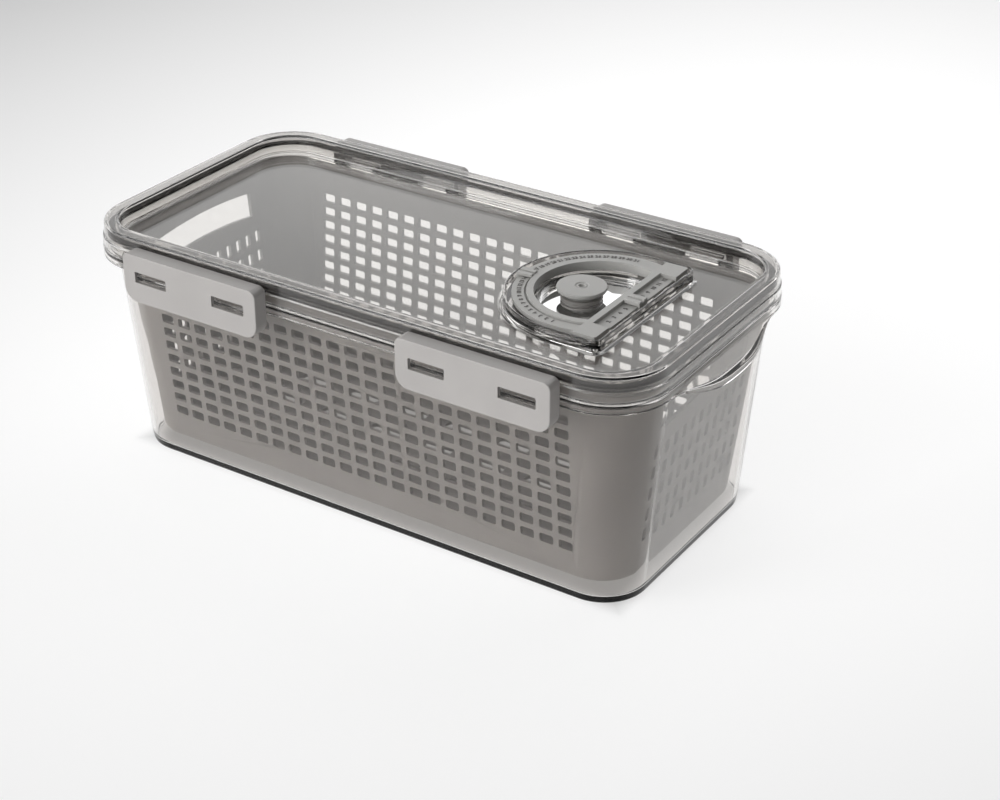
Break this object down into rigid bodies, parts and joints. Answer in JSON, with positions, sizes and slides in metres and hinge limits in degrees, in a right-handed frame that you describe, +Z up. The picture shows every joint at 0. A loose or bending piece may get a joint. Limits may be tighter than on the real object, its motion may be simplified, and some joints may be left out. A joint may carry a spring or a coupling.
{
  "type": "fridge storage box",
  "caption": "Clear rectangular food box with a clamped clear lid, hinged side latches, a lift-out perforated basket, a date dial and a lift-up air vent.",
  "frame": {"origin": "centre of the flat base, on the surface it stands on", "axes": "+Z up, +X along the length towards the date dial, +Y across the width towards the rear latches"},
  "size_m": [0.32, 0.17, 0.12],
  "materials": {
    "clear_plastic": "clear, polished, slightly smoky",
    "basket_grey": "satin moulded mid grey",
    "latch_grey": "satin moulded warm light grey",
    "dial_grey": "satin moulded light grey",
    "seal_silicone": "soft satin silicone"
  },
  "bodies": {
    "box": {"outer_box": "clear_plastic"},
    "basket": {"drain_basket": "basket_grey"},
    "lid": {"lid": "clear_plastic", "lid_gasket": "seal_silicone", "date_dial": "dial_grey"},
    "latch_front_left": {"latch_front_left": "latch_grey"},
    "latch_front_right": {"latch_front_right": "latch_grey"},
    "latch_rear_left": {"latch_rear_left": "latch_grey"},
    "latch_rear_right": {"latch_rear_right": "latch_grey"},
    "date_pointer": {"date_pointer": "dial_grey"},
    "month_pointer": {"month_pointer": "dial_grey"},
    "vent": {"vent_knob": "dial_grey", "vent_seal": "seal_silicone"}
  },
  "joints": [
    {"name": "lid_lift", "type": "slide", "parent": "box", "child": "lid", "axis": [0, 0, 1], "range_m": [0, 0.24]},
    {"name": "basket_lift", "type": "slide", "parent": "box", "child": "basket", "axis": [0, 0, 1], "range_m": [0, 0.108]},
    {"name": "latch_front_left_hinge", "type": "hinge", "parent": "lid", "child": "latch_front_left", "pos_m": [-0.0767, -0.0811, 0.1134], "axis": [-1, 0, 0], "range_deg": [0, 95]},
    {"name": "latch_front_right_hinge", "type": "hinge", "parent": "lid", "child": "latch_front_right", "pos_m": [0.0767, -0.0811, 0.1134], "axis": [-1, 0, 0], "range_deg": [0, 95]},
    {"name": "latch_rear_left_hinge", "type": "hinge", "parent": "lid", "child": "latch_rear_left", "pos_m": [-0.0767, 0.0811, 0.1134], "axis": [1, 0, 0], "range_deg": [0, 95]},
    {"name": "latch_rear_right_hinge", "type": "hinge", "parent": "lid", "child": "latch_rear_right", "pos_m": [0.0767, 0.0811, 0.1134], "axis": [1, 0, 0], "range_deg": [0, 95]},
    {"name": "date_pointer_turn", "type": "hinge", "parent": "lid", "child": "date_pointer", "pos_m": [0.0898, 0, 0.1165], "axis": [0, 0, 1], "range_deg": [-89, 80]},
    {"name": "month_pointer_slide", "type": "slide", "parent": "lid", "child": "month_pointer", "axis": [0, 1, 0], "range_m": [-0.0255, 0.0255]},
    {"name": "vent_knob_lift", "type": "slide", "parent": "lid", "child": "vent", "axis": [0, 0, 1], "range_m": [0, 0.003]}
  ],
  "couplings": [
    {"joint": "basket_lift", "follows": "lid_lift", "ratio": 0.45}
  ]
}
